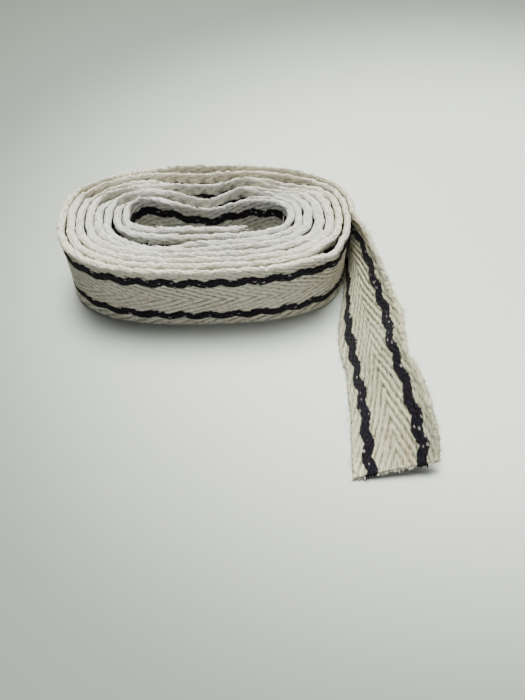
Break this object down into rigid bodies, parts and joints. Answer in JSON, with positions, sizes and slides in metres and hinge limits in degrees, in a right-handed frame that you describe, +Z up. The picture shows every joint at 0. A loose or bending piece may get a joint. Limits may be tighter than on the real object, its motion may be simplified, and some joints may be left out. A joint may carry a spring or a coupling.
{
  "type": "roll of tape",
  "caption": "Loosely wound roll of soft off-white cotton herringbone tape with wavy black edge stripes, lying on its edge with a loose end running off to the front.",
  "frame": {"origin": "Middle of the bounding box in plan, on the surface that the roll lies on.", "axes": "+Z is up, across the tape's width. +X runs along the roll's long side, to the right as seen from the loose end. -Y is the way the loose end runs, toward the viewer."},
  "size_m": [0.1104, 0.0978, 0.025],
  "materials": {
    "wound_cotton": "soft matt woven cotton, off-white",
    "loose_cotton": "soft matt woven cotton, off-white"
  },
  "bodies": {
    "root": {"wound_roll": "wound_cotton", "loose_end": "loose_cotton"}
  },
  "joints": []
}
